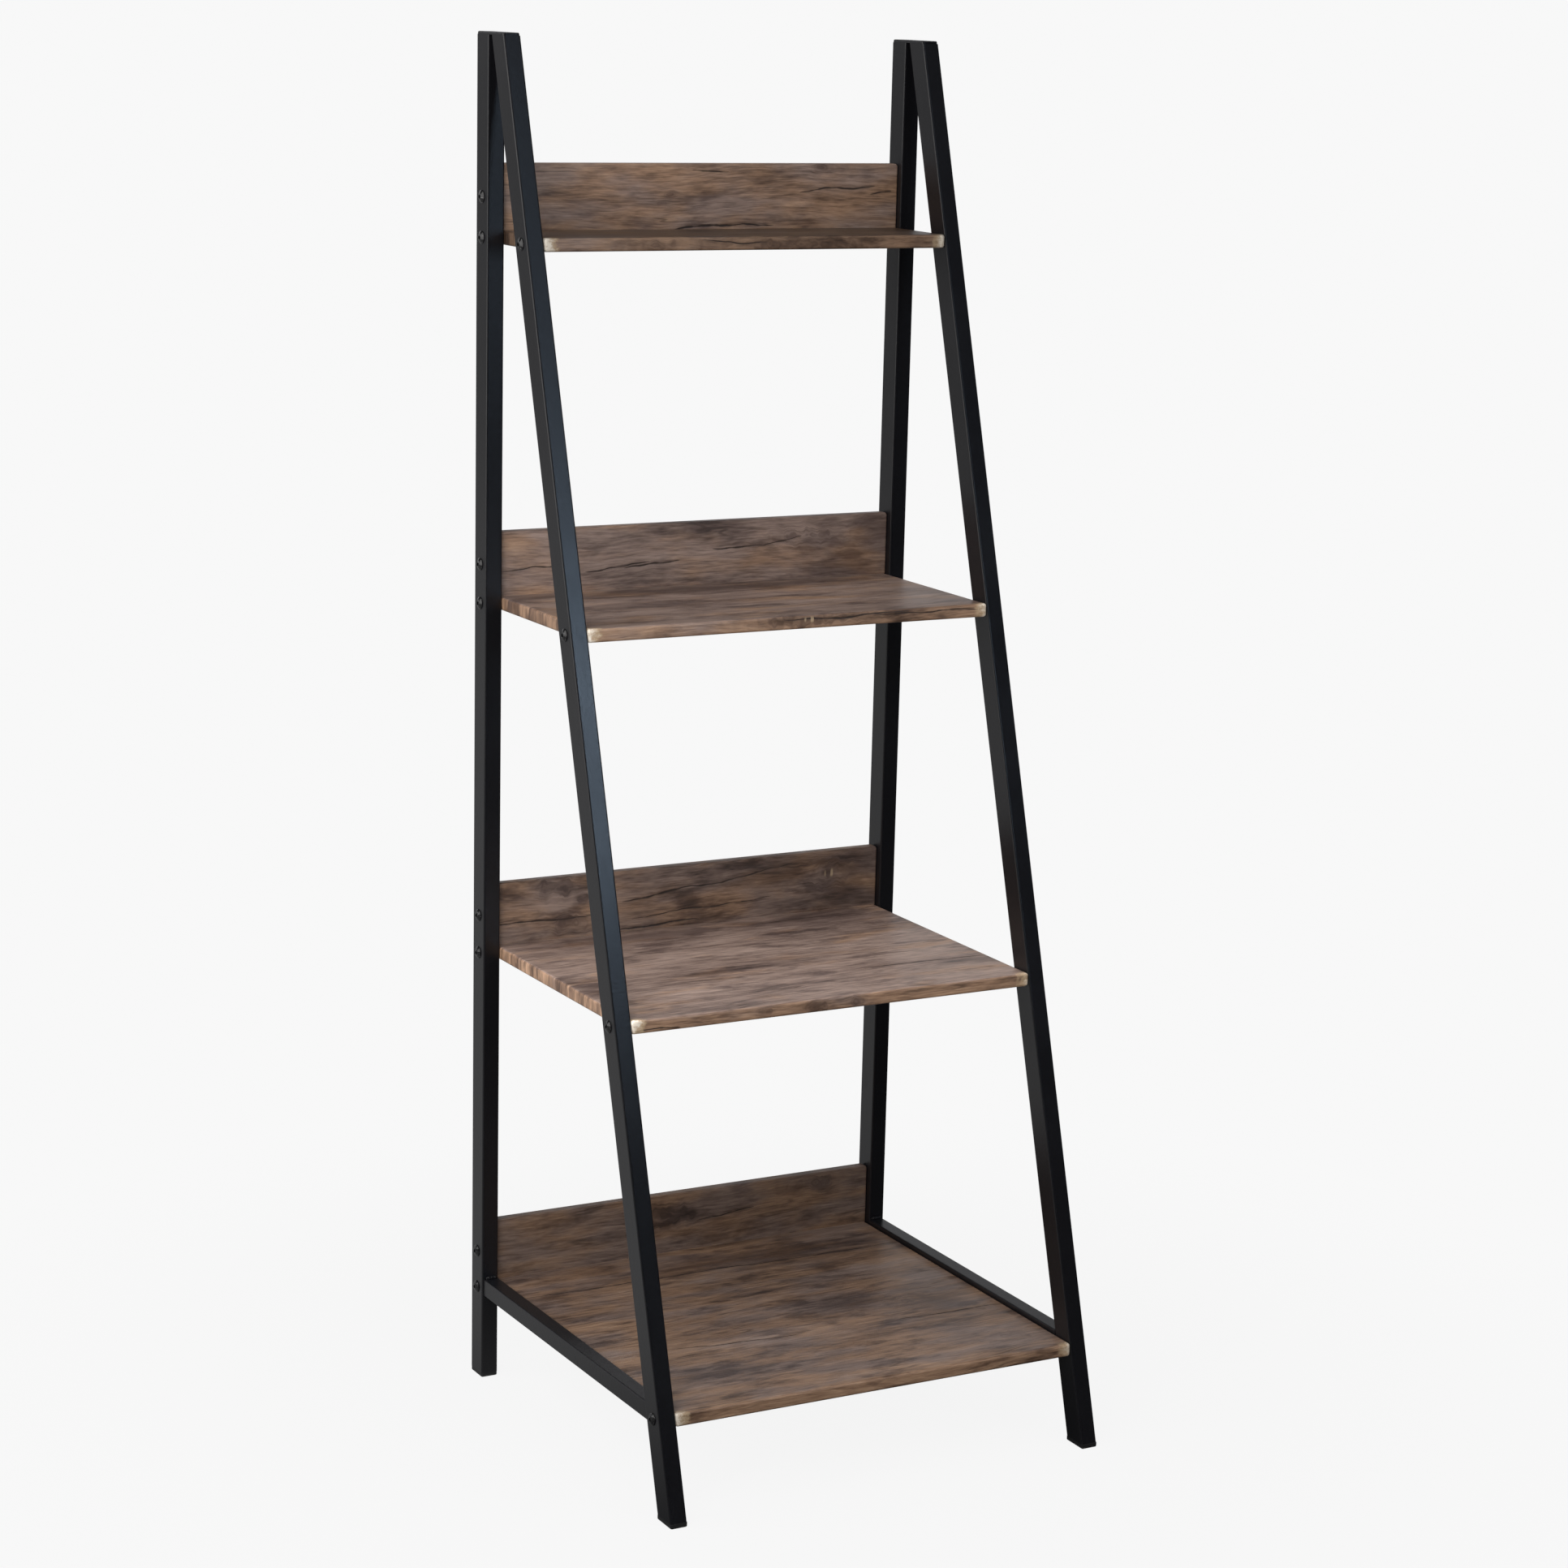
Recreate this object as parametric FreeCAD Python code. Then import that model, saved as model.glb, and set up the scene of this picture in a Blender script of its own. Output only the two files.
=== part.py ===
"""Four-tier ladder shelf: two welded steel side frames carrying four shelves and four backboards.

Frame of the model: X runs left to right, Y runs front (-) to rear (+), Z is up.
The origin lies on the floor, under the middle of the shelf's outline.
All lengths are millimetres.
"""
import FreeCAD, Part
import math
import os
from FreeCAD import Vector

# ---- overall size -------------------------------------------------------------------------------
WIDTH = 535.0            # across the two side frames
DEPTH = 518.0            # on the floor, rear upright to front leg
HEIGHT = 1525.0          # floor to the top of the caps
TOP_DEPTH = 68.0         # rear of the upright to the front of the leg, at the very top

# ---- side frames --------------------------------------------------------------------------------
POST_WIDTH = 20.0        # rectangular tube, measured along X
POST_DEPTH = 30.0        # the same tube, measured across the side of the frame
POST_CORNER = 2.0        # outer corner radius
WALL = 1.2
RAIL_WIDTH = 18.0        # lower side rail, flush with the inner faces of the posts
RAIL_HEIGHT = 20.0
RAIL_CORNER = 1.5
CAP_THICKNESS = 3.0      # plate that closes and joins the two tubes at the top
CAP_CORNER = 3.5
FOOT_HEIGHT = 5.0        # plastic foot below the end of the tube
FOOT_CORNER = 2.5
FOOT_EDGE = 1.4          # rounding where the foot meets the floor
FOOT_HEEL = 0.8          # how far a front foot stands out behind its leaning tube
FOOT_STUB = 14.0         # part of the foot pushed up into the tube
FOOT_STUB_GAP = 0.2
WELD_LEG = 2.6           # fillet weld beads where the rail meets the posts

# ---- boards -------------------------------------------------------------------------------------
TIERS = 4
FIRST_SHELF_TOP = 115.0
TIER_PITCH = 400.0
SHELF_THICKNESS = 15.0
BACKBOARD_THICKNESS = 12.0
BACKBOARD_HEIGHT = 72.0
SHELF_SETBACK = 2.0      # rear edge of a shelf, in front of the rear face of the uprights
BOARD_CORNER = 4.0       # rounded corners of the boards
BOARD_EDGE = 1.5         # softened upper edges of the backboards
SHELF_EDGE = 3.0         # rolled edges of the shelves, all round

# ---- fasteners ----------------------------------------------------------------------------------
BOLT_DIAMETER = 6.0      # M6 button head furniture bolt
BOLT_LENGTH = 35.0
BOLT_HEAD_DIAMETER = 14.0
BOLT_HEAD_HEIGHT = 3.4
SOCKET_ACROSS_FLATS = 4.0
SOCKET_DEPTH = 2.2
BOLT_HOLE = 6.6
INSERT_DIAMETER = 8.0    # threaded sleeve in the end of a board
INSERT_LENGTH = 16.0
INSERT_BORE = 6.2

# ---- worked out from the above ------------------------------------------------------------------
REAR_Y = DEPTH / 2
FRONT_Y = -DEPTH / 2
LEG_RUN = (DEPTH - TOP_DEPTH) / HEIGHT           # how far the leg leans back per mm of height
LEG_ANGLE = math.degrees(math.atan(LEG_RUN))
LEG_DEPTH = POST_DEPTH / math.cos(math.radians(LEG_ANGLE))   # tube depth along a level line
TUBE_BOTTOM = FOOT_HEIGHT
TUBE_TOP = HEIGHT - CAP_THICKNESS
POST_X = WIDTH / 2 - POST_WIDTH / 2              # middle of a post
BOARD_LENGTH = WIDTH - 2 * POST_WIDTH
SHELF_REAR_Y = REAR_Y - SHELF_SETBACK
REAR_BOLT_Y = REAR_Y - POST_DEPTH / 2            # middle of the upright, and of the backboard
RAIL_X = WIDTH / 2 - POST_WIDTH + RAIL_WIDTH / 2
RAIL_BOTTOM = FIRST_SHELF_TOP - SHELF_THICKNESS
SIDES = {"left": -1, "right": 1}


def shelf_top(tier):
    """Height of the upper face of a shelf; tier 1 is the lowest."""
    return FIRST_SHELF_TOP + (tier - 1) * TIER_PITCH


def shelf_middle(tier):
    return shelf_top(tier) - SHELF_THICKNESS / 2


def backboard_middle(tier):
    return shelf_top(tier) + BACKBOARD_HEIGHT / 2


def leg_front_y(z):
    """Front face of the slanted leg at height z."""
    return FRONT_Y + LEG_RUN * z


def leg_middle_y(z):
    return leg_front_y(z) + LEG_DEPTH / 2


def box(x0, x1, y0, y1, z0, z1):
    return Part.makeBox(x1 - x0, y1 - y0, z1 - z0, Vector(x0, y0, z0))


def vertical_edges(shape):
    return [edge for edge in shape.Edges if abs(edge.tangentAt(edge.FirstParameter).z) > 0.999]


def rounded_bar(x0, x1, y0, y1, z0, z1, radius):
    """An upright bar with its four standing corners rounded."""
    bar = box(x0, x1, y0, y1, z0, z1)
    return bar.makeFillet(radius, vertical_edges(bar))


def tube(width, depth, length, corner, wall):
    """A rectangular tube standing on Z = 0, centred on X, its front face on Y = 0."""
    outer = rounded_bar(-width / 2, width / 2, 0, depth, 0, length, corner)
    bore = rounded_bar(-width / 2 + wall, width / 2 - wall, wall, depth - wall, 0, length,
                       max(corner - wall, 0.4))
    return outer.cut(bore)


def cross_hole(x0, x1, y, z, diameter):
    """A round cutter along X."""
    return Part.makeCylinder(diameter / 2, x1 - x0, Vector(x0, y, z), Vector(1, 0, 0))


def drilled(post, side, places):
    """Bolt holes through both walls of a post, at (y, z) places."""
    x0 = side * POST_X - POST_WIDTH
    x1 = side * POST_X + POST_WIDTH
    for y, z in places:
        post = post.cut(cross_hole(x0, x1, y, z, BOLT_HOLE))
    return post


def rear_bolt_places(tier):
    return [(REAR_BOLT_Y, shelf_middle(tier)), (REAR_BOLT_Y, backboard_middle(tier))]


def front_bolt_place(tier):
    return leg_middle_y(shelf_middle(tier)), shelf_middle(tier)


# ---- side frame pieces --------------------------------------------------------------------------
def rear_upright(side):
    post = tube(POST_WIDTH, POST_DEPTH, TUBE_TOP - TUBE_BOTTOM, POST_CORNER, WALL)
    post.translate(Vector(side * POST_X, REAR_Y - POST_DEPTH, TUBE_BOTTOM))
    places = [place for tier in range(1, TIERS + 1) for place in rear_bolt_places(tier)]
    return drilled(post, side, places)


def leaning(shape, side):
    """Tips an upright shape back to the slope of the leg and sets it on the leg's front line."""
    shape.rotate(Vector(0, 0, 0), Vector(1, 0, 0), -LEG_ANGLE)
    shape.translate(Vector(side * POST_X, FRONT_Y, 0))
    return shape


def front_leg(side):
    spare = 60.0
    post = tube(POST_WIDTH, POST_DEPTH, HEIGHT * 1.1, POST_CORNER, WALL)
    post.translate(Vector(0, 0, -spare))
    post = leaning(post, side)
    level_cut = box(-WIDTH, WIDTH, -DEPTH, DEPTH, TUBE_BOTTOM, TUBE_TOP)
    post = post.common(level_cut)
    return drilled(post, side, [front_bolt_place(tier) for tier in range(1, TIERS + 1)])


def lower_rail(side):
    """Level tube from the front face of the upright to the sloping rear face of the leg."""
    length = DEPTH
    rail = tube(RAIL_WIDTH, RAIL_HEIGHT, length, RAIL_CORNER, WALL)
    rail.rotate(Vector(0, 0, 0), Vector(1, 0, 0), 90)
    rail.translate(Vector(side * RAIL_X, REAR_Y - POST_DEPTH, RAIL_BOTTOM))
    leg_block = leaning(box(-WIDTH, WIDTH, -DEPTH, POST_DEPTH, -DEPTH, HEIGHT), side)
    return rail.cut(leg_block)


def top_cap(side):
    """Flat steel plate over both tube ends, with rounded corners and a softened upper edge."""
    x = side * POST_X
    plate = rounded_bar(x - POST_WIDTH / 2, x + POST_WIDTH / 2, REAR_Y - TOP_DEPTH, REAR_Y,
                        TUBE_TOP, HEIGHT, CAP_CORNER)
    rim = [edge for edge in plate.Edges
           if abs(edge.BoundBox.ZMin - HEIGHT) < 0.01 and abs(edge.BoundBox.ZMax - HEIGHT) < 0.01]
    return plate.makeFillet(1.6, rim)


def foot(side, y0, y1, lean):
    """Plastic end cap: a flange on the floor and a hollow stub that fills the tube's bore."""
    x = side * POST_X
    flange = rounded_bar(x - POST_WIDTH / 2, x + POST_WIDTH / 2, y0, y1, 0, FOOT_HEIGHT,
                         FOOT_CORNER)
    rim = [edge for edge in flange.Edges if edge.BoundBox.ZMax < 0.01]
    flange = flange.makeFillet(FOOT_EDGE, rim)
    inset = WALL + FOOT_STUB_GAP
    stub = rounded_bar(-POST_WIDTH / 2 + inset, POST_WIDTH / 2 - inset, inset, POST_DEPTH - inset,
                       -FOOT_STUB, 2 * FOOT_STUB, 0.8)
    core = rounded_bar(-POST_WIDTH / 2 + inset + 1.8, POST_WIDTH / 2 - inset - 1.8,
                       inset + 1.8, POST_DEPTH - inset - 1.8, -FOOT_STUB, 2 * FOOT_STUB, 0.8)
    stub = stub.cut(core)
    if lean:
        stub = leaning(stub, side)
    else:
        stub.translate(Vector(x, REAR_Y - POST_DEPTH, 0))
    stub = stub.common(box(-WIDTH, WIDTH, -DEPTH, DEPTH, FOOT_HEIGHT - 0.5, FOOT_HEIGHT + FOOT_STUB))
    return flange.fuse(stub).removeSplitter()


def rear_foot(side):
    return foot(side, REAR_Y - POST_DEPTH, REAR_Y, False)


def front_foot(side):
    y0 = leg_front_y(FOOT_HEIGHT)
    return foot(side, y0 - LEG_RUN * FOOT_HEIGHT, y0 + LEG_DEPTH + FOOT_HEEL, True)


def weld_bead(x, y, z, toward_front, upward):
    """A convex fillet bead along X in the corner between a post and the rail."""
    length = RAIL_WIDTH - 2 * RAIL_CORNER
    a = Vector(x - length / 2, y, z)
    b = Vector(x - length / 2, y - toward_front * WELD_LEG, z)
    c = Vector(x - length / 2, y, z + upward * WELD_LEG)
    bulge = Vector(x - length / 2, y - toward_front * WELD_LEG * 0.6, z + upward * WELD_LEG * 0.6)
    arc = Part.Arc(b, bulge, c).toShape()
    wire = Part.Wire([Part.makeLine(a, b), arc, Part.makeLine(c, a)])
    return Part.Face(wire).extrude(Vector(length, 0, 0))


def frame_welds(side):
    """Beads above and below both ends of the rail, at the upright and at the leg."""
    x = side * RAIL_X
    rear = REAR_Y - POST_DEPTH
    rail_top = RAIL_BOTTOM + RAIL_HEIGHT
    beads = [weld_bead(x, rear, rail_top, 1, 1), weld_bead(x, rear, RAIL_BOTTOM, 1, -1)]
    for z, upward in ((rail_top, 1), (RAIL_BOTTOM, -1)):
        y = leg_front_y(z) + LEG_DEPTH
        bead = weld_bead(x, y, z, -1, upward)
        leg_block = leaning(box(-WIDTH, WIDTH, -DEPTH, POST_DEPTH, -DEPTH, HEIGHT), side)
        beads.append(bead.cut(leg_block))
    return Part.makeCompound(beads)


# ---- boards -------------------------------------------------------------------------------------
def shelf(tier):
    """Level board between the side frames, rounded at its corners and along its edges."""
    middle = shelf_middle(tier)
    half = BOARD_LENGTH / 2
    board = rounded_bar(-half, half, leg_front_y(middle), SHELF_REAR_Y,
                        middle - SHELF_THICKNESS / 2, middle + SHELF_THICKNESS / 2, BOARD_CORNER)
    rims = [edge for edge in board.Edges if edge not in vertical_edges(board)]
    level = [edge for edge in rims if edge.BoundBox.ZLength < 0.01]
    board = board.makeFillet(SHELF_EDGE, level)
    places = [(REAR_BOLT_Y, middle), front_bolt_place(tier)]
    return with_insert_holes(board, places)


def backboard(tier):
    """Low board standing on the rear of the shelf, its two upper corners rounded."""
    half = BOARD_LENGTH / 2
    z0 = shelf_top(tier)
    z1 = z0 + BACKBOARD_HEIGHT
    y0 = REAR_BOLT_Y - BACKBOARD_THICKNESS / 2
    board = box(-half, half, y0, y0 + BACKBOARD_THICKNESS, z0, z1)
    corners = [edge for edge in board.Edges
               if edge.BoundBox.YLength > 1 and edge.BoundBox.ZMin > z1 - 0.01]
    board = board.makeFillet(BOARD_CORNER, corners)
    rim = [edge for edge in board.Edges
           if edge.BoundBox.YLength < 0.01 and edge.BoundBox.ZMax > z0 + 0.01]
    board = board.makeFillet(BOARD_EDGE, rim)
    return with_insert_holes(board, [(REAR_BOLT_Y, backboard_middle(tier))])


def with_insert_holes(board, places):
    """Blind holes in both ends of a board: a pocket for the sleeve and a bolt tip behind it."""
    half = BOARD_LENGTH / 2
    tip = BOLT_LENGTH - POST_WIDTH + 3.0
    for side in SIDES.values():
        for y, z in places:
            pocket = sorted((side * half, side * (half - INSERT_LENGTH)))
            behind = sorted((side * half, side * (half - tip)))
            board = board.cut(cross_hole(pocket[0], pocket[1], y, z, INSERT_DIAMETER))
            board = board.cut(cross_hole(behind[0], behind[1], y, z, INSERT_BORE))
    return board


# ---- fasteners ----------------------------------------------------------------------------------
def bolt(side, y, z):
    """Button head bolt along X: domed head with a hexagon socket, outside the post."""
    radius = BOLT_HEAD_DIAMETER / 2
    rim = 0.7
    dome_height = BOLT_HEAD_HEIGHT - rim
    dome_radius = (radius ** 2 + dome_height ** 2) / (2 * dome_height)
    ball = Part.makeSphere(dome_radius, Vector(0, 0, BOLT_HEAD_HEIGHT - dome_radius))
    head = Part.makeCylinder(radius, BOLT_HEAD_HEIGHT).common(ball)
    shank = Part.makeCylinder(BOLT_DIAMETER / 2, BOLT_LENGTH, Vector(0, 0, -BOLT_LENGTH))
    corners = SOCKET_ACROSS_FLATS / math.sqrt(3)
    points = [Vector(corners * math.cos(math.radians(60 * k)),
                     corners * math.sin(math.radians(60 * k)),
                     BOLT_HEAD_HEIGHT - SOCKET_DEPTH) for k in range(7)]
    socket = Part.Face(Part.makePolygon(points)).extrude(Vector(0, 0, SOCKET_DEPTH + 1))
    screw = head.fuse(shank).removeSplitter().cut(socket)
    screw.rotate(Vector(0, 0, 0), Vector(0, 1, 0), side * 90)
    screw.translate(Vector(side * WIDTH / 2, y, z))
    return screw


def insert(side, y, z):
    """Threaded sleeve in a board end, drawn with a plain bore."""
    x = side * BOARD_LENGTH / 2
    inward = Vector(-side, 0, 0)
    sleeve = Part.makeCylinder(INSERT_DIAMETER / 2, INSERT_LENGTH, Vector(x, y, z), inward)
    bore = Part.makeCylinder(INSERT_BORE / 2, INSERT_LENGTH, Vector(x, y, z), inward)
    return sleeve.cut(bore)


def tier_fasteners(tier, make):
    """The six bolts, or six sleeves, that hold one shelf and its backboard."""
    places = rear_bolt_places(tier) + [front_bolt_place(tier)]
    pieces = [make(side, y, z) for side in SIDES.values() for y, z in places]
    return Part.makeCompound(pieces)


def main():
    nodes = {}
    for name, side in SIDES.items():
        nodes[name + "_rear_upright"] = rear_upright(side)
        nodes[name + "_front_leg"] = front_leg(side)
        nodes[name + "_lower_rail"] = lower_rail(side)
        nodes[name + "_top_cap"] = top_cap(side)
        nodes[name + "_rear_foot"] = rear_foot(side)
        nodes[name + "_front_foot"] = front_foot(side)
        nodes[name + "_frame_welds"] = frame_welds(side)
    for tier in range(1, TIERS + 1):
        nodes["shelf_%d" % tier] = shelf(tier)
        nodes["backboard_%d" % tier] = backboard(tier)
        nodes["tier_%d_bolts" % tier] = tier_fasteners(tier, bolt)
        nodes["tier_%d_inserts" % tier] = tier_fasteners(tier, insert)
    os.makedirs("parts", exist_ok=True)
    for name, shape in nodes.items():
        shape.exportStep("parts/" + name + ".step")
        extent = shape.BoundBox
        print("%-22s solids %2d  valid %s  volume %10.1f mm3  x %.1f..%.1f  y %.1f..%.1f  z %.1f..%.1f"
              % (name, len(shape.Solids), shape.isValid(), shape.Volume, extent.XMin, extent.XMax,
                 extent.YMin, extent.YMax, extent.ZMin, extent.ZMax))


main()
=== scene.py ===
# %% [markdown]
# # A four-tier ladder shelf
# Two welded side frames of black rectangular tube lean together at the top and carry four shelves.
# Each shelf has a low backboard. The boards are particle board wrapped in a printed oak foil.
# The tubes, boards, bolts and feet come from the CAD model with their true shapes, so most of this
# lesson is about finishes: what a printed oak foil is made of, how a powder coat differs from
# paint, and how soft light shows both. The weld beads are the one shape that is made here, because
# their ripples are too irregular for a CAD sketch.

# %% Load the CAD model as a fixed frame
import math

import bpy
import numpy as np
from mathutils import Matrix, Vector


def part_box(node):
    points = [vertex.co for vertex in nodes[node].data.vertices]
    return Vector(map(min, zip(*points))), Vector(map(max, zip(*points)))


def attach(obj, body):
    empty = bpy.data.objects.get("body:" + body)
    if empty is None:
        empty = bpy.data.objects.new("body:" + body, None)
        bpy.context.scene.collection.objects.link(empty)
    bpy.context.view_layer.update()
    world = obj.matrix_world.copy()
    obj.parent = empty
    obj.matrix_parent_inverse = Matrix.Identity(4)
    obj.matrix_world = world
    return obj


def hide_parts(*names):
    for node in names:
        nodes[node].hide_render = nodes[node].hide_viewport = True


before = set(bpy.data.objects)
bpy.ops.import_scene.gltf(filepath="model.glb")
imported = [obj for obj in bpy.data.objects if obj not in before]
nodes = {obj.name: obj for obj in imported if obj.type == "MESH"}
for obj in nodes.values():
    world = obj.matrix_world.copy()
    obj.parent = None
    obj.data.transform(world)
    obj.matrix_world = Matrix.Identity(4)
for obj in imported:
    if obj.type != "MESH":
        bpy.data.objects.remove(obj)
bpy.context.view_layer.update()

# %% [markdown]
# ## Measuring the frame
# The places of the steel parts and the boards are read from the CAD nodes, so nothing has to be typed
# twice. The slope of the front legs isn't a node's size, but each shelf stops at the front of the legs.
# Two shelves therefore give the slope: how far the front edge moves back for each metre of height.

# %% Measure the shelves, the boards and the lean of the legs
TIERS = (1, 2, 3, 4)
SIDES = ("left", "right")


def lean_of_legs():
    """Metres that the front of the legs moves back per metre of height, from the lowest and highest shelf."""
    low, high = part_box("shelf_1")[0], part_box("shelf_4")[0]
    return (high.y - low.y) / (high.z - low.z)


LEAN = lean_of_legs()
HALF_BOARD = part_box("shelf_1")[1].x
print("lean of the legs %.4f, boards %.0f mm long" % (LEAN, 2000 * HALF_BOARD))

# %% [markdown]
# ## Small tools for shader nodes
# A procedural finish is a sum of simple steps, and each step is one node. Written out in full, a
# node takes five lines: make it, set its mode, fill its inputs, link it, find its output. These
# helpers take up that repetition, so that a finish reads almost like a formula.

# %% Helpers that add and link shader nodes
def put(tree, kind, inputs=None, **settings):
    """Adds a shader node. An input takes a number, a colour, or a socket, which is then linked."""
    node = tree.nodes.new("ShaderNode" + kind)
    for name, value in settings.items():
        setattr(node, name, value)
    for key, value in (inputs or {}).items():
        if isinstance(value, bpy.types.NodeSocket):
            tree.links.new(value, node.inputs[key])
        else:
            node.inputs[key].default_value = value
    return node


def maths(tree, operation, *values, clamp=False):
    """One Math node; returns its output."""
    return put(tree, "Math", dict(enumerate(values)), operation=operation, use_clamp=clamp).outputs[0]


def vectors(tree, operation, *values):
    """One Vector Math node; returns the number for a length or dot product, else the vector."""
    node = put(tree, "VectorMath", dict(enumerate(values)), operation=operation)
    return node.outputs["Value" if operation in ("LENGTH", "DOT_PRODUCT") else "Vector"]


def ease(tree, value, low, high, start=0.0, end=1.0):
    """Smooth step: start below low, end above high, and a soft S between them."""
    return put(tree, "MapRange", {"Value": value, "From Min": low, "From Max": high,
                                  "To Min": start, "To Max": end},
               interpolation_type="SMOOTHSTEP").outputs[0]


def mix(tree, share, first, second, mode="MIX"):
    """Mixes two colours; sockets 6 and 7 are the colour inputs of a Mix node, and output 2 its colour."""
    node = put(tree, "Mix", {0: share, 6: first, 7: second}, data_type="RGBA", blend_type=mode)
    return node.outputs[2]


def flat_noise(tree, where, along, across, detail=2.0, roughness=0.5):
    """Noise on the foil's own plane, with so many cells per metre along and across the grain."""
    stretched = put(tree, "Mapping", {"Vector": where, "Scale": (along, across, 1.0)})
    return put(tree, "TexNoise", {"Vector": stretched.outputs[0], "Scale": 1.0, "Detail": detail,
                                  "Roughness": roughness}, noise_dimensions="2D").outputs["Fac"]


def solid_noise(tree, where, scale, detail=2.0, roughness=0.5):
    """Noise in space, with so many cells per metre in every direction."""
    return put(tree, "TexNoise", {"Vector": where, "Scale": scale, "Detail": detail,
                                  "Roughness": roughness}).outputs["Fac"]


def parts_of(tree, vector):
    """The three numbers of a vector socket."""
    return put(tree, "SeparateXYZ", {0: vector}).outputs


def vector_of(tree, x, y, z=0.0):
    """A vector socket made of three numbers."""
    return put(tree, "CombineXYZ", {0: x, 1: y, 2: z}).outputs[0]


def swing(tree, noise, size):
    """A noise of 0 to 1, made to swing from -size / 2 to size / 2."""
    return maths(tree, "MULTIPLY_ADD", noise, size, -0.5 * size)


def new_group(name, inputs, outputs):
    """A shader node group with named sockets: (name, kind, default) going in, (name, kind) out."""
    tree = bpy.data.node_groups.new(name, "ShaderNodeTree")
    for label, kind, value in inputs:
        socket = tree.interface.new_socket(name=label, in_out="INPUT", socket_type="NodeSocket" + kind)
        socket.default_value = value
    for label, kind in outputs:
        tree.interface.new_socket(name=label, in_out="OUTPUT", socket_type="NodeSocket" + kind)
    return tree, tree.nodes.new("NodeGroupInput").outputs, tree.nodes.new("NodeGroupOutput").inputs


def new_material(name):
    """An empty material with one Principled shader; returns the material, its tree and the shader."""
    material = bpy.data.materials.new(name)
    material.use_nodes = True
    tree = material.node_tree
    tree.nodes.clear()
    shader = put(tree, "BsdfPrincipled")
    put(tree, "OutputMaterial", {"Surface": shader.outputs[0]})
    return material, tree, shader


def emboss(tree, shader, height, strength, reach):
    """Relief from a height that changes over the surface, reach metres deep at full strength."""
    relief = put(tree, "Bump", {"Height": height, "Strength": strength, "Distance": reach})
    tree.links.new(relief.outputs[0], shader.inputs["Normal"])


def feed(tree, shader, made, strength, reach):
    """Feeds a finish group's Color, Roughness and Height into the shader."""
    tree.links.new(made.outputs["Color"], shader.inputs["Base Color"])
    tree.links.new(made.outputs["Roughness"], shader.inputs["Roughness"])
    emboss(tree, shader, made.outputs["Height"], strength, reach)


print("helpers ready")

# %% [markdown]
# ## How a foil lies on a board
# The wood of these boards is a printed foil. It is glued over the top, then rolled down over the
# front edge and the ends, so the printed grain runs on round every corner. A pattern that reads
# plain object coordinates would show different wood on each face. Here the board is unrolled
# instead: x runs along the grain, and u runs across it, from the show face down over the edge. On
# the ends it is x that runs on, so the grain turns into short upright bands there, as on the real
# board.

# %% Group: the unrolled foil
def unrolled_foil():
    """Sheet = (x - end * sign(x) * z, y + (1 - end) * z), measured from Origin on the show face.

    End is 1 on the two ends of the board. Lip is 1 on its front edge, where the foil is stretched.
    """
    tree, given, result = new_group("unrolled foil", [("Origin", "Vector", (0.0, 0.0, 0.0))],
                                    [("Sheet", "Vector"), ("Lip", "Float"), ("End", "Float")])
    place = put(tree, "TexCoord").outputs["Object"]
    x, y, z = parts_of(tree, vectors(tree, "SUBTRACT", place, given["Origin"]))
    facing = parts_of(tree, put(tree, "NewGeometry").outputs["Normal"])
    end = ease(tree, maths(tree, "ABSOLUTE", facing["X"]), 0.5, 0.85)
    over_end = maths(tree, "MULTIPLY", maths(tree, "MULTIPLY", maths(tree, "SIGN", x), z), end)
    over_front = maths(tree, "MULTIPLY", maths(tree, "SUBTRACT", 1.0, end), z)
    sheet = vector_of(tree, maths(tree, "SUBTRACT", x, over_end), maths(tree, "ADD", y, over_front))
    tree.links.new(sheet, result["Sheet"])
    tree.links.new(ease(tree, facing["Y"], -0.4, -0.9), result["Lip"])
    tree.links.new(end, result["End"])
    return tree


FOIL = unrolled_foil()
print("group:", FOIL.name)

# %% [markdown]
# ## Knots and splits
# An oak board is told apart by its knots and its drying splits, and the print keeps both. A knot
# pushes the grain aside. To get that, the group squeezes the sheet coordinate near the knot's
# middle, so the fibres that are drawn later bend round it. A split is a thin line from one point
# to another that wavers and tapers at both ends. Both groups are made once and placed as often as
# a board needs them, with their own places and sizes. Painting them on an image would be quicker,
# but a group stays sharp at any distance and can be moved by changing one number.

# %% Group: one knot
KNOT_SQUEEZE = 0.8
KNOT_RAGGEDNESS = 2.4
RING_PACE = 11.0
RING_DEPTH = 0.16
CURL_PACE = 17.0


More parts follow.
